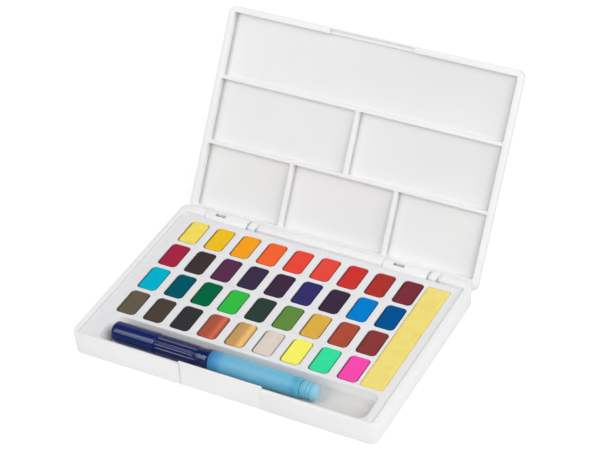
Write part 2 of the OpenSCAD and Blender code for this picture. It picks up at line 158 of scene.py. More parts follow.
def colour_ramp(nodes, links, source, stops):
    """The colour of a ramp from (place, RGBA) stops, driven by source."""
    ramp = nodes.new("ShaderNodeValToRGB")
    ramp.color_ramp.elements[0].position, ramp.color_ramp.elements[0].color = stops[0]
    ramp.color_ramp.elements[1].position, ramp.color_ramp.elements[1].color = stops[-1]
    for place, colour in stops[1:-1]:
        ramp.color_ramp.elements.new(place).color = colour
    links.new(source, ramp.inputs["Fac"])
    return ramp.outputs["Color"]


def mottled(nodes, links, base, scale, factors, detail=2.0):
    """A linear colour whose brightness drifts in clouds, by (place, factor) stops."""
    return colour_ramp(nodes, links, noise_texture(nodes, links, scale, detail),
                       [(place, tinted(base, factor)) for place, factor in factors])


def along(nodes, links, axis, start, end):
    """The place along an axis in the object's own metres, from 0 at start to 1 at end."""
    coords = nodes.new("ShaderNodeTexCoord")
    split = nodes.new("ShaderNodeSeparateXYZ")
    links.new(coords.outputs["Object"], split.inputs["Vector"])
    scale = nodes.new("ShaderNodeMapRange")
    set_inputs(scale, {"From Min": start, "From Max": end})
    links.new(split.outputs[axis], scale.inputs["Value"])
    return scale.outputs["Result"]


def attribute_factor(nodes, name):
    """A value stored on the mesh's points."""
    node = nodes.new("ShaderNodeAttribute")
    node.attribute_name = name
    return node.outputs["Fac"]


def calculated(nodes, links, operation, *values):
    """The result of a math node on sockets or numbers."""
    node = nodes.new("ShaderNodeMath")
    node.operation = operation
    for socket, value in zip(node.inputs, values):
        if isinstance(value, (int, float)):
            socket.default_value = value
        else:
            links.new(value, socket)
    return node.outputs["Value"]


def mixed(nodes, links, factor, first, second):
    """A colour between two, which may be sockets or RGBA values."""
    mix = nodes.new("ShaderNodeMix")
    mix.data_type = "RGBA"
    links.new(factor, mix.inputs["Factor"])
    for socket, value in ((mix.inputs["A"], first), (mix.inputs["B"], second)):
        if isinstance(value, tuple):
            socket.default_value = value
        else:
            links.new(value, socket)
    return mix.outputs["Result"]


def multiplied(nodes, links, first, second):
    """The product of two colour sockets."""
    mix = nodes.new("ShaderNodeMix")
    mix.data_type = "RGBA"
    mix.blend_type = "MULTIPLY"
    mix.inputs["Factor"].default_value = 1.0
    links.new(first, mix.inputs["A"])
    links.new(second, mix.inputs["B"])
    return mix.outputs["Result"]


def add_bump(nodes, links, shader, height, strength, distance):
    """Bump from a height socket; distance is in metres."""
    bump = nodes.new("ShaderNodeBump")
    set_inputs(bump, {"Strength": strength, "Distance": distance})
    links.new(height, bump.inputs["Height"])
    links.new(bump.outputs["Normal"], shader.inputs["Normal"])


# ---------------------------------------------------------------- looks

# Reach and darkest tone of the painted shade in inner corners: in the wells, the box and the
# hinge's knuckles
WELL_CREASE = (7 * MM, 0.74)
BASE_CREASE = (3.5 * MM, 0.82)
KNUCKLE_CREASE = (2.2 * MM, 0.42)
CREASE_SAMPLES = 12
CREASE_START = 0.4
CREASE_END = 0.97
# Cycles per metre of clouds, grain, pits, marks, cells and hairs
MOULDING_CLOUDS = 45
MOULDING_GRAIN = 2600
PAINT_CLOUDS = 180
PAINT_PITS = 1400
GLOSS_CLOUDS = 90
GLOSS_MARKS = 420
FROST_CLOUDS = 150
FOAM_CLOUDS = 110
FOAM_CELLS = 1300
HAIR_CYCLES = (120, 4200, 4200)
# Brightness of the clouds, as (place in the noise, factor)
MOULDING_MOTTLE = [(0.3, 0.994), (0.7, 1.006)]
PAINT_MOTTLE = [(0.3, 0.96), (0.5, 1.0), (0.72, 1.04)]
GLOSS_MOTTLE = [(0.3, 0.94), (0.7, 1.06)]
FROST_MOTTLE = [(0.3, 0.93), (0.7, 1.0)]
# Strength and height of the relief
GRAIN_RELIEF = (0.2, 0.006 * MM)
PIT_RELIEF = (0.2, 0.04 * MM)
MARK_RELIEF = (0.03, 0.02 * MM)
CELL_RELIEF = (0.6, 0.3 * MM)
HAIR_RELIEF = (0.5, 0.1 * MM)
# Brightness and depth of colour of the dried paint, and the painted shade of its line along a
# block's edge
PAINT_LEVEL = 1.1
PAINT_DEPTH = 1.07
LINE_SHADE = 0.25
LINE_HAZE = 0.012
PAINT_SURFACE = {"Roughness": 0.7, "Specular IOR Level": 0.04}
PEARLY_SURFACE = {"Roughness": 0.5, "Specular IOR Level": 0.08}
GLOSS_SPECULAR = 0.35
COAT_ROUGHNESS = 0.03
FROST_SURFACE = {"Subsurface Weight": 0.6, "Subsurface Radius": (0.5, 0.8, 1.0),
                 "Subsurface Scale": 6 * MM, "Specular IOR Level": 0.3}
FOAM_SURFACE = {"Roughness": 0.95, "Specular IOR Level": 0.15, "Sheen Weight": 0.3,
                "Sheen Roughness": 0.6}
# Painted shade of the foam's fine pores
PORE_SHADE_TONES = [(0.05, grey(0.8)), (0.3, grey(1))]
HAIR_TONES = [(0.35, rgba((205, 196, 172))), (0.65, rgba((246, 242, 230)))]
HAIR_ROUGHNESS = 0.5


def painted_crease_shade(nodes, links, reach, level):
    """Painted shade: a grey that falls to level in inner corners, where light is lost."""
    hollow = nodes.new("ShaderNodeAmbientOcclusion")
    hollow.samples = CREASE_SAMPLES
    hollow.only_local = True
    hollow.inputs["Distance"].default_value = reach
    return colour_ramp(nodes, links, hollow.outputs["AO"],
                       [(CREASE_START, grey(level)), (CREASE_END, grey(1))])


def moulded_plastic(name, colour, roughness, crease, tone_of=painted_crease_shade):
    """Moulded plastic with faint mottling, a fine grain and painted shade that darkens its
    inner corners.
    """
    material, nodes, links, shader = new_material(name)
    colour = mottled(nodes, links, rgba(colour), MOULDING_CLOUDS, MOULDING_MOTTLE)
    # Painted shade from tone_of: inner corners, and for the tray and lid more besides
    tone = tone_of(nodes, links, *crease)
    links.new(multiplied(nodes, links, colour, tone), shader.inputs["Base Color"])
    shader.inputs["Roughness"].default_value = roughness
    grain = noise_texture(nodes, links, MOULDING_GRAIN, detail=2.0)
    add_bump(nodes, links, shader, grain, *GRAIN_RELIEF)
    return material


def dried_paint(slot_name, start, end, painted_glint=None):
    """Dried watercolour: mottled, faintly pitted, and darker along the block's edge with
    painted shade of its groove.

    glint gives the painted highlight of a pearly colour along X from start to end.
    """
    material, nodes, links, shader = new_material(slot_name + "_look")
    base = deepened(MATERIALS[slot_name]["base_color"][:3], PAINT_DEPTH)
    factors = [(place, PAINT_LEVEL * factor) for place, factor in PAINT_MOTTLE]
    top = mottled(nodes, links, base, PAINT_CLOUDS, factors, detail=3.0)
    # Painted highlight: a brighter band along X for the pearly colours
    if painted_glint:
        band = colour_ramp(nodes, links, along(nodes, links, "X", start, end),
                           [(place, grey(level)) for place, level in painted_glint])
        top = multiplied(nodes, links, top, band)
    # Painted shade of the groove along the block's edge, mixed in by the line factor
    edge = tuple(c * LINE_SHADE + LINE_HAZE for c in base) + (1.0,)
    colour = mixed(nodes, links, attribute_factor(nodes, "line"), top, edge)
    links.new(colour, shader.inputs["Base Color"])
    set_inputs(shader, PEARLY_SURFACE if painted_glint else PAINT_SURFACE)
    pits = noise_texture(nodes, links, PAINT_PITS, detail=3.0, roughness=0.65)
    add_bump(nodes, links, shader, pits, *PIT_RELIEF)
    return material


def glossy_plastic(name, colour, roughness=0.2, scratch=0.05, coat=0.6):
    """Hard glossy plastic with faint handling marks in its gloss."""
    material, nodes, links, shader = new_material(name)
    tint = mottled(nodes, links, rgba(colour), GLOSS_CLOUDS, GLOSS_MOTTLE)
    links.new(tint, shader.inputs["Base Color"])
    marks = noise_texture(nodes, links, GLOSS_MARKS, detail=5.0, roughness=0.7)
    level = nodes.new("ShaderNodeMapRange")
    set_inputs(level, {"To Min": roughness, "To Max": roughness + scratch})
    links.new(marks, level.inputs["Value"])
    links.new(level.outputs["Result"], shader.inputs["Roughness"])
    set_inputs(shader, {"Specular IOR Level": GLOSS_SPECULAR, "Coat Weight": coat,
                        "Coat Roughness": COAT_ROUGHNESS})
    add_bump(nodes, links, shader, marks, *MARK_RELIEF)
    return material


def frosted_plastic(name, start, end, stops, roughness):
    """Soft translucent plastic with painted light and shade along X, whose tone follows what
    is inside it.
    """
    material, nodes, links, shader = new_material(name)
    inside = colour_ramp(nodes, links, along(nodes, links, "X", start, end),
                         [(place, rgba(colour)) for place, colour in stops])
    cloud = mottled(nodes, links, grey(1), FROST_CLOUDS, FROST_MOTTLE, detail=3.0)
    links.new(multiplied(nodes, links, inside, cloud), shader.inputs["Base Color"])
    set_inputs(shader, FROST_SURFACE)
    shader.inputs["Roughness"].default_value = roughness
    return material


def foam(name, colour, deep_colour):
    """Open-cell foam: mottled between two tones, with painted shade in its fine pores."""
    material, nodes, links, shader = new_material(name)
    cloud = noise_texture(nodes, links, FOAM_CLOUDS, detail=4.0, roughness=0.6)
    tone = colour_ramp(nodes, links, cloud, [(0.3, rgba(deep_colour)), (0.6, rgba(colour))])
    coords = nodes.new("ShaderNodeTexCoord")
    cells = nodes.new("ShaderNodeTexVoronoi")
    cells.inputs["Scale"].default_value = FOAM_CELLS
    links.new(coords.outputs["Object"], cells.inputs["Vector"])
    pores = colour_ramp(nodes, links, cells.outputs["Distance"], PORE_SHADE_TONES)
    links.new(multiplied(nodes, links, tone, pores), shader.inputs["Base Color"])
    set_inputs(shader, FOAM_SURFACE)
    add_bump(nodes, links, shader, cells.outputs["Distance"], *CELL_RELIEF)
    return material


def bristle_look():
    """Pale synthetic hair that runs along the brush's axis."""
    material, nodes, links, shader = new_material("bristle_look")
    coords = nodes.new("ShaderNodeTexCoord")
    stretch = nodes.new("ShaderNodeMapping")
    stretch.inputs["Scale"].default_value = HAIR_CYCLES
    links.new(coords.outputs["Object"], stretch.inputs["Vector"])
    hair = nodes.new("ShaderNodeTexNoise")
    hair.inputs["Scale"].default_value = 1.0
    links.new(stretch.outputs["Vector"], hair.inputs["Vector"])
    tone = colour_ramp(nodes, links, hair.outputs["Fac"], HAIR_TONES)
    links.new(tone, shader.inputs["Base Color"])
    shader.inputs["Roughness"].default_value = HAIR_ROUGHNESS
    add_bump(nodes, links, shader, hair.outputs["Fac"], *HAIR_RELIEF)
    return material


# ---------------------------------------------------------------- mesh helpers

WELD = 0.005 * MM
FLAT = math.radians(1)
SHARP = math.radians(35)
WIDEST_EDGE = 1.4 * MM
EDGE_SEGMENTS = 3
LEAST_CORNER = 0.3 * MM


def finished_object(name, mesh, body, nodes, material):
    """Links a mesh as a piece that rides on a body and stands for CAD nodes."""
    obj = bpy.data.objects.new(name, mesh)
    scene.collection.objects.link(obj)
    mesh.materials.append(material)
    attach(obj, body)
    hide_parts(*nodes)
    return obj


def smooth_into(work, mesh):
    """Writes a worked mesh with smooth faces, and frees it."""
    for face in work.faces:
        face.smooth = True
    work.to_mesh(mesh)
    work.free()


def weigh_edges(work, edge_radius):
    """Gives each sharp edge its rounding, as a share of the widest one."""
    weights = work.edges.layers.float.new("bevel_weight_edge")
    for edge in work.edges:
        if len(edge.link_faces) == 2 and abs(edge.calc_face_angle_signed(0)) > SHARP:
            middle = (edge.verts[0].co + edge.verts[1].co) / 2
            convex = edge.calc_face_angle_signed(0) > 0
            edge[weights] = edge_radius(middle, convex) / WIDEST_EDGE


def rounded_copy(node, name, body, material, edge_radius):
    """The CAD node's own shape with each sharp edge rounded, as moulding leaves it.

    edge_radius(middle, convex) gives the rounding of an edge in metres.
    """
    mesh = bpy.data.meshes.new(name)
    work = bmesh.new()
    work.from_mesh(NODES[node].data)
    bmesh.ops.remove_doubles(work, verts=work.verts, dist=WELD)
    bmesh.ops.dissolve_limit(work, angle_limit=FLAT, verts=work.verts, edges=work.edges)
    weigh_edges(work, edge_radius)
    smooth_into(work, mesh)
    obj = finished_object(name, mesh, body, [node], material)
    bevel = obj.modifiers.new("rounding", "BEVEL")
    bevel.width = WIDEST_EDGE
    bevel.segments = EDGE_SEGMENTS
    bevel.limit_method = "WEIGHT"
    bevel.use_clamp_overlap = True
    bevel.harden_normals = True


def mesh_from_rings(name, rings):
    """A smooth closed mesh through rings of the same number of points."""
    mesh = bpy.data.meshes.new(name)
    work = bmesh.new()
    rows = [[work.verts.new(point) for point in ring] for ring in rings]
    for low, high in zip(rows, rows[1:]):
        for i in range(len(low)):
            j = (i + 1) % len(low)
            work.faces.new((low[i], low[j], high[j], high[i]))
    work.faces.new(list(reversed(rows[0])))
    work.faces.new(rows[-1])
    bmesh.ops.recalc_face_normals(work, faces=work.faces)
    smooth_into(work, mesh)
    return mesh


def store_factor(mesh, name, values):
    """Keeps a value for each point of a mesh for its material."""
    layer = mesh.attributes.new(name, "FLOAT", "POINT")
    layer.data.foreach_set("value", values)


def rounded_outline(centre, width, depth, radius, corner=6, sides=(1, 1)):
    """Points and outward normals round a rectangle with rounded corners.

    corner is the steps of a corner, and sides the steps along X and along Y.
    """
    arcs = []
    for quarter, (sx, sy) in enumerate(((1, 1), (-1, 1), (-1, -1), (1, -1))):
        cx = centre[0] + sx * (width / 2 - radius)
        cy = centre[1] + sy * (depth / 2 - radius)
        for step in range(corner + 1):
            angle = math.radians(90 * quarter + 90 * step / corner)
            normal = (math.cos(angle), math.sin(angle))
            arcs.append((cx + radius * normal[0], cy + radius * normal[1], normal))
    points = []
    for i, (x, y, normal) in enumerate(arcs):
        points.append((x, y, normal))
        if i % (corner + 1) == corner:
            count = sides[(i // (corner + 1)) % 2]
            end = arcs[(i + 1) % len(arcs)]
            for step in range(1, count):
                t = step / count
                points.append((x + (end[0] - x) * t, y + (end[1] - y) * t, normal))
    return points


# ---------------------------------------------------------------- white mouldings

WHITE = (249, 249, 249)
LID_WHITE = (247, 247, 247)
TRAY_WHITE = (250, 250, 252)
CUP_WHITE = (242, 242, 240)
CASE_ROUGHNESS = 0.42
CUP_ROUGHNESS = 0.4
# Rounding of the outer edges, and of the inner ones
BASE_EDGE = 0.3 * MM
LID_EDGE = 0.55 * MM
WINDOW_EDGE = 0.25 * MM
INNER_EDGE = 0.12 * MM
# The open lid: the way its wells face, their floors' plane, sides and ribs
LID_OPEN = math.radians(123.84)
LID_NORMAL = Vector((0, -math.sin(LID_OPEN), -math.cos(LID_OPEN)))
HINGE = Vector((0, 75.8 * MM, 12 * MM))
WELL_FLOOR = LID_NORMAL.dot(HINGE) - 11.5 * MM
FLOOR_REACH = 0.4 * MM
WELL_SIDE = 110.6 * MM
KNUCKLE_REAR = 82 * MM
REAR_RIB_X = 41.25 * MM
REAR_RIB_Z = 50 * MM
FRONT_RIB_Z = 90 * MM
# Painted shade of a well's floor, and of the strip halfway to the crease's own painted shade
WELL_FLOOR_SHADE = 0.945
WELL_STRIP_SHADE = 0.94
# The tray's painted shade: its upward faces are greyer than its walls, and its trough is
# darker and warmer low down
TRAY_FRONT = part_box("insert_tray")[0][1]
TRAY_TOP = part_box("insert_tray")[1][2]
TROUGH_FRONT = TRAY_FRONT + 8 * MM
TROUGH_REAR = TRAY_FRONT + 26.9 * MM
TROUGH_FLOOR = TRAY_TOP - 9.6 * MM
TROUGH_WALL = (1, 0.985, 0.95, 1)
TROUGH_SHADE_TONES = [(0, (0.83, 0.82, 0.79, 1)), (0.25, TROUGH_WALL), (0.85, TROUGH_WALL),
                (1, grey(1))]
FACE_SHADE_TONES = [(0.3, grey(1)), (0.9, grey(0.9))]


def even_edges(outer):
    """The rounding of a moulding whose outer edges are all alike."""
    def edge_radius(_middle, convex):
        """Outer edges by the moulding's own radius, inner ones by the small one."""
        return outer if convex else INNER_EDGE
    return edge_radius


def tray_edges(middle, convex):
    """The trough's rear and side edges are rounded more than the windows' edges."""
    if not convex:
        return INNER_EDGE
    at_top = TRAY_TOP - middle[2] < 0.1 * MM
    at_trough = TROUGH_FRONT < middle[1] < TROUGH_REAR + 1 * MM
    return WIDEST_EDGE if at_top and at_trough else WINDOW_EDGE


def tray_painted_shade(nodes, links, reach, level):
    """Painted shade: darker inner corners, greyer upward faces than walls, and a trough that
    is darker and warmer low down.
    """
    depth = along(nodes, links, "Z", TROUGH_FLOOR + 1 * MM, TRAY_TOP - 1 * MM)
    floor = colour_ramp(nodes, links, depth, TROUGH_SHADE_TONES)
    facing = nodes.new("ShaderNodeNewGeometry")
    split = nodes.new("ShaderNodeSeparateXYZ")
    links.new(facing.outputs["Normal"], split.inputs["Vector"])
    face = colour_ramp(nodes, links, split.outputs["Z"], FACE_SHADE_TONES)
    tone = multiplied(nodes, links, floor, face)
    return multiplied(nodes, links, painted_crease_shade(nodes, links, reach, level), tone)


def wall_gap(calc, place):
    """How far along X a point of the open lid is from its well's nearest wall.

    The wide front well has no rib in its middle, so a whole metre is added there.
    """
    across = calc("ABSOLUTE", place["X"])
    rear_gap = calc("ABSOLUTE", calc("SUBTRACT", across, REAR_RIB_X))
    in_rear = calc("LESS_THAN", place["Z"], REAR_RIB_Z)
    in_front = calc("GREATER_THAN", place["Z"], FRONT_RIB_Z)
    beside_rib = calc("ADD", calc("MULTIPLY", rear_gap, in_rear),
                      calc("MULTIPLY", across, calc("SUBTRACT", 1.0, in_rear)))
    rib_gap = calc("ADD", in_front, beside_rib)
    return calc("MINIMUM", calc("SUBTRACT", WELL_SIDE, across), rib_gap)


def well_painted_shade(nodes, links, reach, level):
    """Painted shade: greyer floors in the lid's wells, darker beside the walls that face along
    X.

    The small windows in the hinge's knuckles get still darker painted shade.
    """
    def calc(operation, *values):
        """A math node of this material."""
        return calculated(nodes, links, operation, *values)

    coords = nodes.new("ShaderNodeTexCoord")
    split = nodes.new("ShaderNodeSeparateXYZ")
    links.new(coords.outputs["Object"], split.inputs["Vector"])
    gap = wall_gap(calc, split.outputs)
    height = nodes.new("ShaderNodeVectorMath")
    height.operation = "DOT_PRODUCT"
    height.inputs[1].default_value = LID_NORMAL
    links.new(coords.outputs["Object"], height.inputs[0])
    on_floor = calc("COMPARE", height.outputs["Value"], WELL_FLOOR, FLOOR_REACH)
    shade = colour_ramp(nodes, links, calc("DIVIDE", gap, reach),
                        [(0.2, grey(level * WELL_FLOOR_SHADE)), (0.5, grey(WELL_STRIP_SHADE * WELL_FLOOR_SHADE)),
                         (1.0, grey(WELL_FLOOR_SHADE))])
    floor = mixed(nodes, links, on_floor, grey(1), shade)
    at_hinge = calc("LESS_THAN", split.outputs["Y"], KNUCKLE_REAR)
    crease = painted_crease_shade(nodes, links, *KNUCKLE_CREASE)
    return multiplied(nodes, links, floor, mixed(nodes, links, at_hinge, grey(1), crease))


def add_mouldings():
    """Base, lid and tray in white plastics, the tray's faces a little greyer with painted
    shade, and the cups.
    """
    plastic = moulded_plastic("white_plastic", WHITE, CASE_ROUGHNESS, BASE_CREASE)
    palette = moulded_plastic("palette_plastic", LID_WHITE, CASE_ROUGHNESS, WELL_CREASE,
                              well_painted_shade)
    tray = moulded_plastic("tray_plastic", TRAY_WHITE, CASE_ROUGHNESS, BASE_CREASE, tray_painted_shade)
    rounded_copy("base_case", "base_case_moulding", "base", plastic,
                 even_edges(BASE_EDGE))
    rounded_copy("lid_palette", "lid_palette_moulding", "lid", palette,
                 even_edges(LID_EDGE))
    rounded_copy("insert_tray", "insert_tray_moulding", "tray", tray,
                 tray_edges)
    NODES["pan_cups"].material_slots[0].material = moulded_plastic(
        "cup_plastic_look", CUP_WHITE, CUP_ROUGHNESS, BASE_CREASE)


# ---------------------------------------------------------------- paints

# Painted highlight where mica catches the light, from the block's left side to its right
PAINTED_GLINT = {"paint_copper": [(0.1, 0.82), (0.5, 0.9), (0.74, 1.5), (0.92, 0.8)],
         "paint_gold": [(0.1, 0.8), (0.5, 0.9), (0.76, 1.45), (0.95, 1.0)],
         "paint_pearl": [(0.0, 0.98), (0.5, 1.04), (1.0, 1.0)]}
WINDOW_STEP = 0.25 * MM
PAINT_CORNER = 3.25 * MM
GROOVE = 0.4 * MM
REAR_DROP = 0.05 * MM
LINE = 0.7 * MM
LINE_END = 1.1 * MM
DISH = 0.1 * MM
DISH_REACH = 3 * MM
WOBBLE = 0.06 * MM
WOBBLE_CYCLES = 350
BLOCK_SPREAD = 900
PAINT_INSETS = [v * MM for v in (0, 0.25, 0.4, 0.55, 0.7, 0.85, 1.0, 1.3, 2.0, 3.2, 5.0, 7.0)]


def line_share(inset):
    """One on the line along a block's edge, falling to zero where the line ends."""
    return min(1.0, max(0.0, (LINE_END - inset) / (LINE_END - LINE)))


def paint_drop(x, y, rear, inset, seed):
    """How far a block's top is sunk: by its groove, its dish and its unevenness.

    rear is one at the block's rear side, where the groove is shallow.
    """
    edge = GROOVE * (1 - rear) + REAR_DROP * rear
    hollow = DISH * min(1.0, inset / DISH_REACH)
    wobble = noise.noise(Vector((x, y, 0)) * WOBBLE_CYCLES + seed) * WOBBLE
    return edge * line_share(inset) + hollow + abs(wobble)


def add_paint(node):
    """One cast block of colour with a groove round it and a slightly uneven top."""
    low, high = (Vector(corner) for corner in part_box(node))
    centre = (low + high) / 2
    width = high.x - low.x - 2 * WINDOW_STEP
    depth = high.y - low.y - 2 * WINDOW_STEP
    seed = Vector((centre.x * BLOCK_SPREAD, centre.y * BLOCK_SPREAD, 0))
    rings, groove_shades = [], []
    for level, inset in enumerate([0] + PAINT_INSETS):
        outline = rounded_outline(centre, width - 2 * inset, depth - 2 * inset,
                                  max(PAINT_CORNER - inset, LEAST_CORNER))
        ring = []
        for x, y, normal in outline:
            rear = max(0.0, normal[1]) ** 2
            at_foot = level == 0
            drop = high.z - low.z if at_foot else paint_drop(x, y, rear, inset, seed)
            ring.append((x, y, high.z - drop))
            # Share of the groove's painted shade at this point
            groove_shades.append(line_share(inset) * (1 - rear))
        rings.append(ring)
    mesh = mesh_from_rings(node + "_block", rings)
    store_factor(mesh, "line", groove_shades)
    finished_object(node + "_block", mesh, "tray", [node],
                    dried_paint(node, low.x, high.x, PAINTED_GLINT.get(node)))


# ---------------------------------------------------------------- sponge

SPONGE = (250, 231, 122)
SPONGE_DEEP = (247, 222, 108)
SPONGE_CORNER = 1.8 * MM
SPONGE_CORNER_STEPS = 4
SPONGE_CELL = 1.3 * MM
SPONGE_SWELL = 0.25 * MM
SWELL_CYCLES = 160
SWELL_CYCLES_UP = 90
SPONGE_SAG = 0.12 * MM
SAG_CYCLES = 220
SAG_SEED = 7.0
# Inset and drop of the rings from the lower edge up and over the top, in millimetres
SPONGE_SIDE = [(0.7, 12.7), (0.1, 12.1), (0.0, 8.0), (0.0, 4.0), (0.0, 2.2), (0.1, 1.3),
               (0.4, 0.65), (0.9, 0.2), (1.5, 0.0)]
SPONGE_TOP_INSETS = (2.4, 3.6, 4.8, 6.0, 7.2)


def foam_point(x, y, z, normal, on_top):
    """A point of the sponge's skin, waved outwards and, on top, sunk a little."""
    wave = noise.noise(Vector((x * SWELL_CYCLES, y * SWELL_CYCLES, z * SWELL_CYCLES_UP)))
    sag = noise.noise(Vector((x * SAG_CYCLES, y * SAG_CYCLES, SAG_SEED))) if on_top else 0.0
    return (x + normal[0] * wave * SPONGE_SWELL, y + normal[1] * wave * SPONGE_SWELL,
            z - abs(sag) * SPONGE_SAG)


def add_sponge():
    """A block of foam with soft rounded edges, and sides and a top that wave a little."""
    low, high = (Vector(corner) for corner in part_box("sponge"))
    centre = (low + high) / 2
    width, depth = high.x - low.x, high.y - low.y
    straight = [side - 2 * SPONGE_CORNER for side in (width, depth)]
    counts = [max(1, round(length / SPONGE_CELL)) for length in straight]
    rings = []
    for inset, drop in SPONGE_SIDE + [(inset, 0.0) for inset in SPONGE_TOP_INSETS]:
        inset, drop = inset * MM, drop * MM
        outline = rounded_outline(centre, width - 2 * inset, depth - 2 * inset,
                                  max(SPONGE_CORNER - inset, LEAST_CORNER),
                                  SPONGE_CORNER_STEPS, counts)
        rings.append([foam_point(x, y, high.z - drop, normal, drop < 1 * MM)
                      for x, y, normal in outline])
    mesh = mesh_from_rings("sponge_block", rings)
    piece = finished_object("sponge_block", mesh, "sponge", ["sponge"],
                            foam("sponge_foam_look", SPONGE, SPONGE_DEEP))


# ---------------------------------------------------------------- water brush

NAVY = (0, 30, 98)
NAVY_GRIP = (0, 24, 88)
HOLDER_BLUE = (186, 214, 232)
CONNECTOR_BLUE = (52, 104, 160)
# Painted light and shade along X of the frosted barrel and plug, standing in for light through
# them and the shade of what sits inside
BARREL_PAINTED_TONES = [(0.0, (58, 142, 198)), (0.1, (84, 162, 210)), (0.16, (114, 186, 218)),
                (0.5, (124, 194, 220)), (0.88, (116, 192, 224)), (0.94, (86, 176, 216)),
                (1.0, (104, 188, 222))]
PLUG_PAINTED_TONES = [(0.0, (118, 196, 226)), (0.6, (132, 202, 228)), (1.0, (164, 212, 232))]
TURN_STEPS = 72
CAP_ROUND = 3.7 * MM
CAP_TAPER = 0.15 * MM
# The grip: its body between the spigot and the cone, and the flutes along it
GRIP_BODY_DROP = 0.4 * MM
SPIGOT_LENGTH = 6 * MM
FLUTE_MARGIN = 1.2 * MM
CONE_LENGTH = 10 * MM
BODY_STEPS = 6
FLUTES = 14
FLUTE_STEPS = 14
FLUTE_RADIUS = 0.8 * MM
BARREL_REAR_RADIUS = 6.7 * MM
BARREL_SWELL = 0.08 * MM
BARREL_STEPS = 12
PLUG_ROUND = 2.9 * MM
# Arcs: the angles they run from and to, in degrees, and their steps
CAP_ARC = (172, 90, 9)
PLUG_ARC = (90, 8, 8)
# Profiles in millimetres: a place past one end of the piece, and a radius, which a name in
# _R gives from the axis and any other name from the radius of the piece there
CAP_NOSE_R = [(0, 0.2)]
CAP_NOSE = [(0.05, -4.5)]
CAP_SIDE = [(4.2, -0.14), (12, -0.06)]
CAP_MOUTH = [(-0.5, 0), (-0.25, 0), (0, -0.25), (0, -1.2), (-4, -1.2)]
GRIP_SPIGOT_R = [(0, 0.5), (0, 5.8), (0.4, 6.2), (5.8, 6.2), (6, 6.4)]
GRIP_SHOULDER = [(6.3, 0), (6.7, 0)]
GRIP_CONE_START = [(0.5, -0.3)]
GRIP_CONE_MIDDLE = [(-5, 0.1)]
GRIP_COLLAR = [(-0.4, -0.05), (0, -0.3)]
GRIP_END_R = [(0, 1)]
BARREL_FACE_R = [(0, 5.6)]
BARREL_FRONT = [(0, -0.35), (0.3, 0)]
BARREL_REAR = [(-0.7, 0), (-0.25, -0.15), (0, -0.5)]
BARREL_MOUTH_R = [(0, 5.6), (-3, 5.5)]
PLUG_CORE_R = [(0, 1), (0, 5.3)]
PLUG_FACE_R = [(-0.05, 5.3)]
PLUG_SHOULDER = [(0, -0.2), (0.3, 0)]
PLUG_GROOVES = (1.6, 4.1, 6.9)
PLUG_GROOVE = [(-0.55, 0), (-0.2, -0.45), (0.2, -0.45), (0.55, 0)]
PLUG_END_R = [(0, 0.3)]


def offsets(edge, radius, pairs):
    """Profile points from (place, radius) pairs in millimetres past an edge and a radius."""
    return [(edge + place * MM, radius + change * MM) for place, change in pairs]


def arc(x, radius, turn, start, end, steps):
    """Profile points on an arc of radius turn, whose centre is at x and radius."""
    points = []
    for step in range(steps + 1):
        angle = math.radians(start + (end - start) * step / steps)
        points.append((x + turn * math.cos(angle), radius + turn * math.sin(angle)))
    return points


def turned(name, axis, profile, steps=TURN_STEPS, radius_at=None):
    """A piece turned about the brush's axis from (place along X, radius) pairs."""
    rings = []
    for x, radius in profile:
        ring = []
        for step in range(steps):
            angle = 2 * math.pi * step / steps
            r = radius_at(x, radius, angle) if radius_at else radius
            ring.append((x, axis.y + r * math.cos(angle), axis.z + r * math.sin(angle)))
        rings.append(ring)
    return mesh_from_rings(name, rings)


def brush_axis():
    """A point on the axis that all of the brush's pieces share."""
    low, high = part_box("brush_barrel")
    return (Vector(low) + Vector(high)) / 2


def node_span(node):
    """Start, end and largest radius of a turned CAD node."""
    low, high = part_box(node)
    return low[0], high[0], (high[2] - low[2]) / 2


def add_cap(axis):
    """The cap: a round nose, a side that widens slightly, and a thin lip at its mouth."""
    start, end, radius = node_span("brush_cap")
    profile = offsets(start, 0, CAP_NOSE_R) + offsets(start, radius, CAP_NOSE)
    profile += arc(start + CAP_ROUND, radius - CAP_TAPER - CAP_ROUND, CAP_ROUND, *CAP_ARC)
    profile += offsets(start, radius, CAP_SIDE) + offsets(end, radius, CAP_MOUTH)
    mesh = turned("water_brush_cap", axis, profile)
    finished_object("water_brush_cap", mesh, "cap", ["brush_cap"],
                    glossy_plastic("cap_look", NAVY, roughness=0.18))


def flute_cut(radius):
    """The radius of a round body with straight flutes at an angle about its axis."""
    reach = radius + FLUTE_RADIUS / 2

    def cut(angle):
        """The body's radius at an angle, or the flute's surface where that is lower."""
        pitch = 2 * math.pi / FLUTES
        off = (angle + pitch / 2) % pitch - pitch / 2
        across = reach * math.sin(abs(off))
        if across >= FLUTE_RADIUS:
            return radius
        return min(radius,
                   reach * math.cos(off) - math.sqrt(FLUTE_RADIUS ** 2 - across ** 2))
    return cut


def add_grip(axis):
    """The dark grip: a spigot for the cap, long flutes, and a cone up to its collar."""
    start, end, collar = node_span("brush_grip")
    body_r = collar - GRIP_BODY_DROP
    cut = flute_cut(body_r)
    first, last = start + SPIGOT_LENGTH + FLUTE_MARGIN, end - CONE_LENGTH

    def radius_at(x, radius, angle):
        """The fluted radius on the body, and the profile's own elsewhere."""
        return min(radius, cut(angle)) if first <= x <= last else radius

    profile = offsets(start, 0, GRIP_SPIGOT_R) + offsets(start, body_r, GRIP_SHOULDER)
    profile += [(first + (last - first) * step / BODY_STEPS, body_r)
                for step in range(BODY_STEPS + 1)]
    profile += offsets(last, body_r, GRIP_CONE_START) + offsets(end, body_r, GRIP_CONE_MIDDLE)
    profile += offsets(end, collar, GRIP_COLLAR) + offsets(end, 0, GRIP_END_R)
    mesh = turned("water_brush_grip", axis, profile, FLUTES * FLUTE_STEPS, radius_at)
    finished_object("water_brush_grip", mesh, "grip", ["brush_grip"],
                    glossy_plastic("grip_look", NAVY_GRIP, roughness=0.08, scratch=0.03,
                                   coat=0.8))


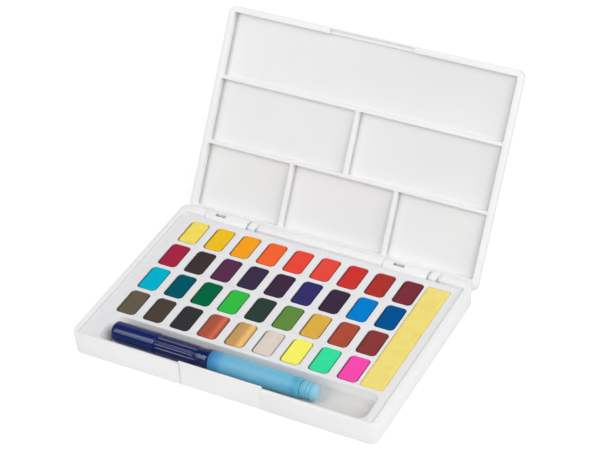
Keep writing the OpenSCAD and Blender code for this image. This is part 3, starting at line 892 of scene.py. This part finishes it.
def add_barrel(axis):
    """The soft barrel: its wall tapers, swells a little and rolls in at both ends."""
    start, end, radius = node_span("brush_barrel")
    profile = offsets(start, 0, BARREL_FACE_R) + offsets(start, radius, BARREL_FRONT)
    for step in range(1, BARREL_STEPS):
        t = step / BARREL_STEPS
        taper = (BARREL_REAR_RADIUS - radius) * t
        swell = math.sin(math.pi * t) * BARREL_SWELL
        profile.append((start + (end - start) * t, radius + taper + swell))
    profile += offsets(end, BARREL_REAR_RADIUS, BARREL_REAR) + offsets(end, 0, BARREL_MOUTH_R)
    mesh = turned("water_brush_barrel", axis, profile)
    finished_object("water_brush_barrel", mesh, "barrel", ["brush_barrel"],
                    frosted_plastic("barrel_look", start, end, BARREL_PAINTED_TONES, roughness=0.35))


def add_plug(axis):
    """The end plug: a core that seals the barrel, three grooves to grip, and a round end."""
    start, end, radius = node_span("brush_end_plug")
    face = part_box("brush_barrel")[1][0]
    profile = offsets(start, 0, PLUG_CORE_R) + offsets(face, 0, PLUG_FACE_R)
    profile += offsets(face, radius, PLUG_SHOULDER)
    for place in PLUG_GROOVES:
        profile += offsets(face + place * MM, radius, PLUG_GROOVE)
    profile += arc(end - PLUG_ROUND, radius - PLUG_ROUND, PLUG_ROUND, *PLUG_ARC)
    profile += offsets(end, 0, PLUG_END_R)
    mesh = turned("water_brush_plug", axis, profile)
    finished_object("water_brush_plug", mesh, "barrel", ["brush_end_plug"],
                    frosted_plastic("plug_look", face, end, PLUG_PAINTED_TONES, roughness=0.2))


def finish_hidden_nodes():
    """Materials for the nib, its bristles and the connector, which the cap and barrel hide."""
    for node, look in (("brush_nib_holder", glossy_plastic("holder_look", HOLDER_BLUE)),
                       ("brush_connector", glossy_plastic("connector_look", CONNECTOR_BLUE)),
                       ("brush_bristles", bristle_look())):
        NODES[node].material_slots[0].material = look


# ---------------------------------------------------------------- light and floor

WORLD_LIGHT = 0.37
# What gloss shows: the room in front of the set, and the sheet behind it
ROOM = 0.3
SHEET = 1.2
FLOOR_SIZE = 12
FLOOR_DROP = 0.0002
FLOOR_GREY = 0.92
FLOOR_GLOW = 0.42
LIGHT_TARGET = Vector((0, 0, 0.05))
LIGHT_DISTANCE = 1.9
# Azimuth from the front to the right, elevation, power, and width and height in metres
SOFT_BOXES = {"key_right": (60, 45, 9.6, (1, 1)),
              "key_left": (-30, 50, 9.2, (1, 1)),
              "side_right": (100, 40, 8.8, (1, 1)),
              "front_strip": (-27, 28, 2.6, (1.4, 0.1))}


def seen_directly(nodes, links):
    """One for camera rays and for rays through clear plastic, zero for gloss and light."""
    path = nodes.new("ShaderNodeLightPath")
    return calculated(nodes, links, "MAXIMUM", path.outputs["Is Camera Ray"],
                      path.outputs["Is Transmission Ray"])


def picked_shader(nodes, links, unseen, seen):
    """One shader for rays that see it directly, and another for all other rays."""
    pick = nodes.new("ShaderNodeMixShader")
    links.new(seen_directly(nodes, links), pick.inputs["Fac"])
    links.new(unseen, pick.inputs[1])
    links.new(seen, pick.inputs[2])
    return pick.outputs["Shader"]


def emission(nodes, strength):
    """A white emission shader."""
    node = nodes.new("ShaderNodeEmission")
    node.inputs["Strength"].default_value = strength
    return node.outputs["Emission"]


def add_floor():
    """A plain pale floor that reads white to the camera and keeps soft shadows."""
    bpy.ops.mesh.primitive_plane_add(size=FLOOR_SIZE,
                                     location=(0, 0, CAD_BOX[0][2] - FLOOR_DROP))
    floor = bpy.context.object
    floor.name = "floor"
    material, nodes, links, shader = new_material("floor")
    set_inputs(shader, {"Base Color": grey(FLOOR_GREY), "Roughness": 0.9,
                        "Specular IOR Level": 0.0})
    glow = picked_shader(nodes, links, emission(nodes, 0.0), emission(nodes, FLOOR_GLOW))
    total = nodes.new("ShaderNodeAddShader")
    links.new(shader.outputs["BSDF"], total.inputs[0])
    links.new(glow, total.inputs[1])
    links.new(total.outputs["Shader"], nodes["Material Output"].inputs["Surface"])
    floor.data.materials.append(material)


def gloss_backdrop(nodes, links):
    """White for all rays but gloss, which shows a dim room in front and a sheet behind."""
    coords = nodes.new("ShaderNodeTexCoord")
    split = nodes.new("ShaderNodeSeparateXYZ")
    links.new(coords.outputs["Generated"], split.inputs["Vector"])
    backdrop = colour_ramp(nodes, links, split.outputs["Y"],
                           [(0.3, grey(ROOM)), (0.6, grey(SHEET))])
    in_gloss = nodes.new("ShaderNodeLightPath").outputs["Is Glossy Ray"]
    return mixed(nodes, links, in_gloss, grey(1), backdrop)


def add_world():
    """Even white light all round, and a white background."""
    world = bpy.data.worlds.new("studio")
    world.use_nodes = True
    scene.world = world
    nodes, links = world.node_tree.nodes, world.node_tree.links
    light = nodes["Background"]
    links.new(gloss_backdrop(nodes, links), light.inputs["Color"])
    light.inputs["Strength"].default_value = WORLD_LIGHT
    white = nodes.new("ShaderNodeBackground")
    set_inputs(white, {"Color": grey(1), "Strength": 1.0})
    links.new(picked_shader(nodes, links, light.outputs["Background"],
                            white.outputs["Background"]),
              nodes["World Output"].inputs["Surface"])


def add_soft_box(name, azimuth, elevation, power, size):
    """A soft box aimed at the set; azimuth runs from the front to the right."""
    data = bpy.data.lights.new(name, "AREA")
    data.shape = "RECTANGLE"
    data.size, data.size_y = size
    data.energy = power
    turn, rise = math.radians(azimuth), math.radians(elevation)
    away = Vector((math.cos(rise) * math.sin(turn), -math.cos(rise) * math.cos(turn),
                   math.sin(rise)))
    lamp = bpy.data.objects.new(name, data)
    lamp.location = LIGHT_TARGET + away * LIGHT_DISTANCE
    lamp.rotation_euler = (-away).to_track_quat("-Z", "Y").to_euler()
    scene.collection.objects.link(lamp)


# ---------------------------------------------------------------- the whole set

add_camera()
add_mouldings()
for node_name in sorted(NODES):
    if node_name.startswith("paint_"):
        add_paint(node_name)
add_sponge()
AXIS = brush_axis()
add_cap(AXIS)
add_grip(AXIS)
add_barrel(AXIS)
add_plug(AXIS)
finish_hidden_nodes()
add_floor()
add_world()
for box_name, placing in SOFT_BOXES.items():
    add_soft_box(box_name, *placing)
scene.view_settings.view_transform = "Standard"
